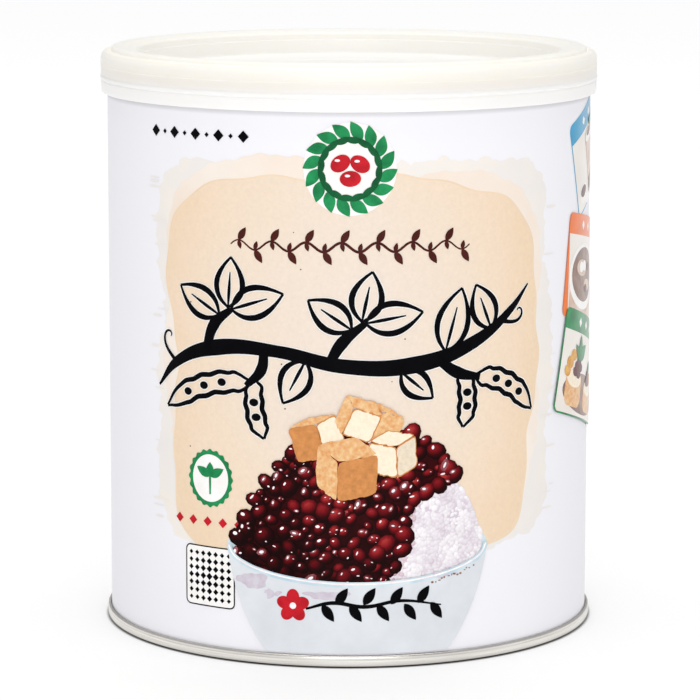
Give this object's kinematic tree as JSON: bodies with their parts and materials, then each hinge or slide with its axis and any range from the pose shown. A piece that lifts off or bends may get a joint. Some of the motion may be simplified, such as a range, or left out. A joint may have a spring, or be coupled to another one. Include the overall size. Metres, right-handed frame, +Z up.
{
  "type": "food tin with plastic lid",
  "caption": "Large shut cylindrical food tin with double-seamed ends, a printed body and a push-on plastic over-cap with a raised stacking ring.",
  "frame": {"origin": "centre of the base, on the surface that the tin stands on", "axes": "+Z up along the tin's axis of turning, -Y out of the front of the print, +X to the right of it"},
  "size_m": [0.1582, 0.1582, 0.184],
  "materials": {
    "printed_tinplate": "white lacquered and printed tinplate under a glossy varnish",
    "bare_tinplate": "bright tinplate with a fine rolled grain",
    "soft_plastic": "soft moulded polyethylene, slightly translucent, low sheen"
  },
  "bodies": {
    "root": {"can_body": "printed_tinplate", "bottom_end": "bare_tinplate", "top_end": "bare_tinplate", "over_cap": "soft_plastic"}
  },
  "joints": []
}
